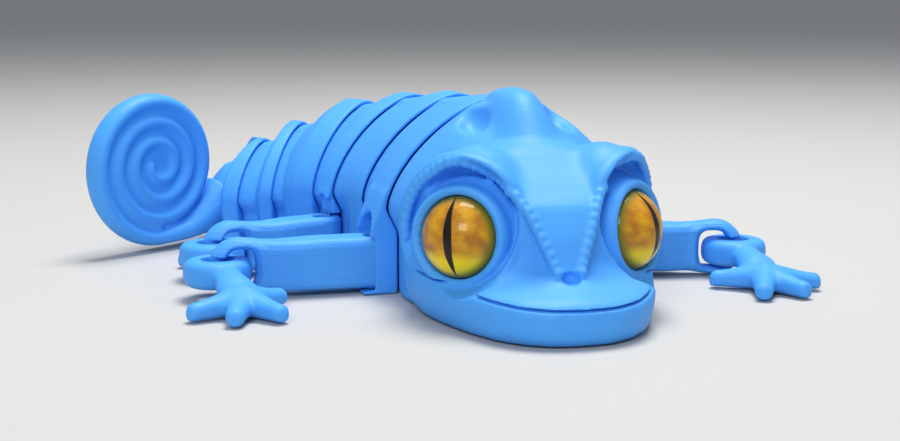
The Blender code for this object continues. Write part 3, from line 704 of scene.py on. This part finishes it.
face = skin("head", [
    level(0.0, [(0, 22.4), (5.6, 21.8), (10.6, 19.0), (14.8, 14.4), (18.2, 7.4), (20.8, -1), (22.4, -9),
                (22.4, -17), (18, -24), (10, -27)]),
    level(1.4, [(0, 23.5), (6.0, 22.9), (11.3, 20.0), (15.6, 15.1), (19.0, 7.8), (21.9, -1), (23.8, -9),
                (23.8, -17), (19.6, -25), (11, -28)]),
    level(4.0, [(0, 23.9), (6.3, 23.3), (11.8, 20.4), (16.1, 15.4), (19.6, 8), (22.6, -1), (24.6, -9),
                (25.2, -17), (21, -25.6), (12, -29)]),
    level(7.0, [(0, 23.9), (6.4, 23.3), (12, 20.5), (16.4, 15.4), (19.9, 8.1), (22.8, -1), (25.1, -9),
                (25.8, -17), (22, -25.8), (12, -29)]),
    level(8.4, [(0, 22.8), (6.0, 22.0), (11.6, 19.2), (16.1, 14.6), (19.9, 8.0), (22.9, -1), (25.3, -9),
                (26.0, -17), (22, -26), (12, -29)]),
    level(9.6, [(0, 19.4), (5.0, 18.2), (10.4, 15.4), (15.1, 11.2), (19.2, 6.2), (22.7, -1.2),
                (25.3, -9), (26.1, -17), (22, -26), (12, -29)]),
    level(10.8, [(0, 15.8), (3.6, 15.2), (8.6, 11.8), (13.6, 8.0), (18.2, 3.8), (22.3, -1.8), (25.1, -9),
                 (26.2, -17), (22, -26), (12, -29)]),
    level(12.5, [(0, 13.6), (2.7, 13.4), (4.1, 11.0), (8.2, 8.4), (13.2, 4.8), (21.3, -2.4), (24.7, -9),
                 (26.2, -17), (22, -26), (12, -29)]),
    level(15.5, [(0, 12.8), (3.8, 12.7), (4.9, 9.8), (8.0, 7.0), (12.8, 3.4), (20.4, -3), (24.2, -9),
                 (26.0, -17), (22, -26), (12, -29)]),
    level(19.0, [(0, 11.6), (5.3, 11.5), (6.3, 8.2), (8.9, 5.4), (12.4, 2.8), (18.8, -4), (23.0, -10),
                 (25.2, -17), (22, -26), (12, -29)]),
    level(24.5, [(0, 8.6), (7.6, 8.6), (8.7, 5.4), (10.4, 3.2), (12.4, 1.6), (16.4, -5), (19.8, -11),
                 (22.2, -17), (20, -26), (12, -29)]),
    level(29.0, [(0, 2.4), (9.6, 2.4), (10.7, 1.0), (11.6, -0.6), (12.8, -2.4), (15, -7), (16.6, -12),
                 (17.8, -17), (15.8, -25), (10, -28)]),
    level(32.0, [(0, -2.2), (9.2, -2.6), (10.4, -3.6), (11.2, -4.8), (12, -6), (12.8, -9), (13.4, -13),
                 (13.8, -18), (12.4, -24), (9, -27)]),
    level(35.0, [(0, -6.4), (3.0, -6.6), (4.8, -7.4), (5.8, -8.6), (6.6, -10), (7.6, -12), (8.2, -15),
                 (8.4, -19), (7.6, -23), (6, -26)]),
])
brows = [ball(spot(13.0 * side, -5.6, 17.6), (0.0113, 0.0143, 0.0178)) for side in (-1, 1)]
crest = skin("crest", [
    hump(28.0, 11.4, 1.0, -34.0), hump(32.0, 9.6, -4.0, -33.8), hump(35.5, 8.2, -8.0, -33.6),
    hump(38.5, 6.9, -10.8, -33.5), hump(41.0, 5.8, -13.0, -33.2), hump(43.2, 4.6, -15.4, -32.4),
    hump(44.4, 3.4, -17.4, -31.0), hump(45.0, 1.8, -20.0, -28.0),
])
neck_barrel = barrel_for(*EDGES["chest"])
skull = turned("skull", barrel_levels(*neck_barrel), 96)
head = join_into(face, *brows, crest)
soften(head, 0.00060, 22)
combine(head, skull, "UNION")
for side in (-1, 1):
    # A shallow scoop beside the crest.
    combine(head, ball(spot(9.6 * side, -21.5, 40.6), (0.0036, 0.0066, 0.0052)), "DIFFERENCE")
soften(head, 0.00050, 14)
cut_past(head, EDGE_SHARE * neck_barrel[0] + BARREL_TUCK, -HEAD_HEADING)

for side in (-1, 1):
    # The band over the eye thins out towards the plate, and falls back behind the eye.
    rings = []
    for i in range(29):
        angle, x, y, z, tube = over_eye(side, i / 28)
        out = Vector((math.cos(angle), math.sin(angle), 0.0))
        rings.append([Vector((x, y, z)) + out * (tube * math.cos(2 * math.pi * j / 14))
                      + Vector((0.0, 0.0, 1.5 * tube * math.sin(2 * math.pi * j / 14))) for j in range(14)])
    band = skin("band", rings)
    band.data.transform(eye_frame(side))
    combine(head, band, "UNION")
soften(head, 0.00050, 8)

for side in (-1, 1):
    # The socket round an eye, and in it the ring that holds the eye.
    hollow = turned("hollow", [(0.0104, -0.0050), (0.0122, 0.0), (0.0144, 0.0040), (0.0146, 0.0120)], 64)
    hollow.data.transform(eye_frame(side) @ Matrix.Translation((-0.0004 * side, 0.0027, 0.0)))
    combine(head, hollow, "DIFFERENCE")
    turret = turned("turret", [(0.0126, -0.0120), (0.0120, -0.0040), (0.0106, -0.0022), (0.0104, -0.0006),
                               (0.0100, 0.0005), (0.0094, 0.0011), (0.0088, 0.0010), (0.0084, 0.0004)], 64)
    turret.data.transform(eye_frame(side))
    combine(head, turret, "UNION")
nose_pit = ball(spot(0.0, 14.8, 11.6), (0.0020, 0.0020, 0.0014))
combine(head, nose_pit, "DIFFERENCE")

def bead_path(side):
    """Where the beaded ridge runs: up the plate's side, over the brow and down behind the eye."""
    path = [spot(side * x, ahead, z) for x, ahead, z in (
        (2.4, 13.6, 12.4), (3.6, 12.8, 15.0), (4.9, 11.8, 18.0), (6.3, 10.2, 21.4), (7.6, 8.4, 24.6),
        (8.8, 5.6, 27.2), (9.8, 2.4, 29.4), (10.6, -1.0, 31.4))]
    around = eye_frame(side)
    for i in range(10):
        _, x, y, z, tube = over_eye(side, 0.34 + 0.062 * i)
        path.append(around @ Vector((0.94 * x, 0.94 * y, z + 1.4 * tube)))
    return path


def spread(path, pitch):
    """Points at an even pitch along a path."""
    dots, left = [], 0.0
    for a, b in zip(path, path[1:]):
        span = (b - a).length
        while left < span:
            dots.append(a.lerp(b, left / span))
            left += pitch
        left -= span
    return dots


beads = []
for side in (-1, 1):
    for dot in spread(bead_path(side), 0.0019):
        _, where, _, _ = head.closest_point_on_mesh(dot)
        beads.append(ball(where, (0.00122, 0.00122, 0.00122), 10))
join_into(head, *beads)
soften(head, 0.00040, 2)

# The seat of each eye is a flat-bottomed hole, a little wider than the glass.
for side in (-1, 1):
    seat = turned("seat", [(EYE_RADIUS + 0.0003, -0.0016), (EYE_RADIUS + 0.0003, 0.010)], 96)
    seat.data.transform(eye_frame(side))
    combine(head, seat, "DIFFERENCE")

# The mouth is a narrow slit all round the snout, which rises a little towards the cheeks.
MOUTH_HALF, MOUTH_HEIGHT, MOUTH_RISE = 0.00034, 0.0071, 0.085
LIP = [(0, 21.8), (5.8, 21.2), (11.0, 18.5), (15.0, 13.9), (18.4, 7.3), (21.2, -1.4), (23.2, -8)]
jaw_front = [(0.04, -0.060), (-0.04, -0.060), (-0.04, -0.0190), (0.04, -0.0190)]
mouth = raised("mouth", jaw_front, -MOUTH_HALF, MOUTH_HALF)
inner = LIP + [(-x, ahead) for x, ahead in reversed(LIP[1:])]
core = raised("core", [(x * MM, -NECK_TO_EYES - ahead * MM) for x, ahead in inner], -0.002, 0.002)
combine(mouth, core, "DIFFERENCE")
slope = Matrix.Identity(4)
slope[2][1] = MOUTH_RISE
snout_tip = Vector((0.0, -0.052, 0.0))
mouth.data.transform(Matrix.Translation(snout_tip + Vector((0.0, 0.0, MOUTH_HEIGHT))) @ slope
                     @ Matrix.Translation(-snout_tip))
combine(head, mouth, "DIFFERENCE")
head.name = "head_shape"
finish(head, "head", ["head"], body_plastic, NECK_PIN, HEAD_HEADING)

# ------------------------------------------------------------------ eyes
# Each eye stands for a clear glass cabochon, glued into its ring, with a printed iris behind it. It is drawn
# as one glossy coated dome with the iris painted on it: amber above, olive at the rim, and split by a black
# pupil, with a painted caustic below, a yellow that stands in for the light the glass gathers there.

EYE_RISE = 0.0050


def dome_levels(radius, rise, base, steps=18):
    ball_radius = (radius**2 + rise**2) / (2 * rise)
    widest = math.asin(radius / ball_radius)
    levels = [(radius, base)]
    for i in range(steps):
        angle = widest * (1 - i / steps)
        levels.append((ball_radius * math.sin(angle), rise - ball_radius * (1 - math.cos(angle))))
    return levels


def worked(tree, operation, first, second=0.0, third=0.0):
    """A Math node on outputs or numbers, and its result."""
    node = tree.nodes.new("ShaderNodeMath")
    node.operation = operation
    for slot, value in zip(node.inputs, (first, second, third)):
        if isinstance(value, float):
            slot.default_value = value
        else:
            tree.links.new(value, slot)
    return node.outputs["Value"]


def blended(tree, factor, first, second):
    """A colour between two, each an output or four numbers."""
    node = tree.nodes.new("ShaderNodeMix")
    node.data_type = "RGBA"
    tree.links.new(factor, node.inputs["Factor"])
    for slot, value in ((node.inputs["A"], first), (node.inputs["B"], second)):
        if isinstance(value, tuple):
            slot.default_value = value
        else:
            tree.links.new(value, slot)
    return node.outputs["Result"]


def ramped(tree, value, low, high):
    """0 below the low value, 1 above the high one, and smooth between."""
    node = tree.nodes.new("ShaderNodeMapRange")
    node.interpolation_type = "SMOOTHSTEP"
    node.inputs["From Min"].default_value = low
    node.inputs["From Max"].default_value = high
    tree.links.new(value, node.inputs["Value"])
    return node.outputs["Result"]


def iris_under_glass(name):
    iris = bpy.data.materials.new(name)
    iris.use_nodes = True
    tree = iris.node_tree
    shader = tree.nodes["Principled BSDF"]
    chart = tree.nodes.new("ShaderNodeUVMap")
    chart.uv_map = "iris"
    parts = tree.nodes.new("ShaderNodeSeparateXYZ")
    join(tree, chart, "UV", parts, "Vector")
    across = worked(tree, "MULTIPLY_ADD", parts.outputs["X"], 2.0, -1.0)
    up = worked(tree, "MULTIPLY_ADD", parts.outputs["Y"], 2.0, -1.0)
    out = worked(tree, "SQRT", worked(tree, "ADD", worked(tree, "MULTIPLY", across, across),
                                      worked(tree, "MULTIPLY", up, up)))
    flecks = tree.nodes.new("ShaderNodeTexNoise")
    flecks.inputs["Scale"].default_value = 5.0
    flecks.inputs["Detail"].default_value = 5.0
    join(tree, chart, "UV", flecks, "Vector")
    wave = worked(tree, "MULTIPLY_ADD", flecks.outputs["Fac"], 0.5, -0.25)
    # Painted caustic: below a wavy line the iris is painted bright yellow, in place of the light that the
    # glass dome gathers low down.
    lower = worked(tree, "ADD", up, worked(tree, "MULTIPLY", wave, 0.6))
    colour = blended(tree, ramped(tree, flecks.outputs["Fac"], 0.35, 0.68), (0.42, 0.160, 0.012, 1.0),
                     (0.70, 0.340, 0.008, 1.0))
    iris_with_painted_caustic = blended(tree, ramped(tree, lower, -0.62, -0.28), (0.90, 0.66, 0.006, 1.0), colour)
    lit = blended(tree, ramped(tree, out, 0.80, 0.99), iris_with_painted_caustic, (0.160, 0.160, 0.008, 1.0))
    # The pupil is a slit that narrows to both ends and leans a little.
    aside = worked(tree, "ABSOLUTE", worked(tree, "ADD", across, worked(tree, "MULTIPLY", up, 0.07)))
    taper = worked(tree, "MULTIPLY_ADD", worked(tree, "MULTIPLY", up, up), -1.15, 1.0)
    edge = worked(tree, "MULTIPLY_ADD", taper, 0.105, worked(tree, "MULTIPLY", wave, 0.10))
    slit = ramped(tree, worked(tree, "SUBTRACT", aside, edge), 0.0, 0.022)
    final = blended(tree, slit, (0.006, 0.003, 0.002, 1.0), lit)
    tree.links.new(final, shader.inputs["Base Color"])
    shader.inputs["Roughness"].default_value = 0.45
    shader.inputs["Specular IOR Level"].default_value = 0.2
    shader.inputs["Coat Weight"].default_value = 0.6
    shader.inputs["Coat Roughness"].default_value = 0.015
    shader.inputs["Coat IOR"].default_value = 1.34
    bump = tree.nodes.new("ShaderNodeBump")
    bump.inputs["Strength"].default_value = 0.25
    bump.inputs["Distance"].default_value = 0.0002
    join(tree, flecks, "Fac", bump, "Height")
    join(tree, bump, "Normal", shader, "Normal")
    return iris


glass_eye = iris_under_glass("glass_eye")
for side, name in ((-1, "eye_right"), (1, "eye_left")):
    lens = turned(name + "_dome", dome_levels(EYE_RADIUS, EYE_RISE, -0.0011), 96)
    chart = lens.data.uv_layers[0] if lens.data.uv_layers else lens.data.uv_layers.new()
    chart.name = "iris"
    for corner, loop in zip(chart.data, lens.data.loops):
        point = lens.data.vertices[loop.vertex_index].co
        corner.uv = (0.5 + 0.5 * point.x / EYE_RADIUS, 0.5 + 0.5 * point.y / EYE_RADIUS)
    lens.data.transform(eye_frame(side))
    finish(lens, "head", [name], glass_eye, NECK_PIN, HEAD_HEADING)

# ------------------------------------------------------------------ floor, camera and light
# The toy stands on a plain pale floor in soft studio light, seen from ahead and from its right.

deselect()
bpy.ops.mesh.primitive_plane_add(size=30.0, location=(0.0, 0.0, -0.0001))
floor = bpy.context.object
floor.name = "floor"
paper = bpy.data.materials.new("paper")
paper.use_nodes = True
paper_shader = paper.node_tree.nodes["Principled BSDF"]
paper_shader.inputs["Base Color"].default_value = (0.52, 0.52, 0.51, 1.0)
paper_shader.inputs["Roughness"].default_value = 0.85
floor.data.materials.append(paper)

world = bpy.data.worlds.new("studio")
bpy.context.scene.world = world
world.use_nodes = True
sky = world.node_tree.nodes["Background"]
sky.inputs["Color"].default_value = (0.85, 0.90, 0.97, 1.0)
sky.inputs["Strength"].default_value = 0.36


def area_light(name, location, target, size, power, tint):
    deselect()
    aim = (Vector(target) - Vector(location)).to_track_quat("-Z", "Y").to_euler()
    bpy.ops.object.light_add(type="AREA", location=location, rotation=aim)
    light = bpy.context.object
    light.name = name
    light.data.size = size
    light.data.energy = power
    light.data.color = tint


BACK_MIDDLE = (0.0, 0.0, 0.02)
area_light("overhead", (0.10, 0.12, 0.80), BACK_MIDDLE, 0.40, 7.8, (1.0, 0.98, 0.95))
area_light("front", (-0.42, -0.66, 0.50), BACK_MIDDLE, 0.30, 3.2, (0.95, 0.98, 1.0))
deselect()
bpy.ops.object.camera_add(location=(-0.1179, -0.2979, 0.0664),
                          rotation=(math.radians(80.77), 0.0, math.radians(-20.0)))
camera = bpy.context.object
camera.data.lens = 58.0
camera.data.sensor_width = 36.0
camera.data.clip_start = 0.01
bpy.context.scene.camera = camera
bpy.context.scene.view_settings.view_transform = "Standard"
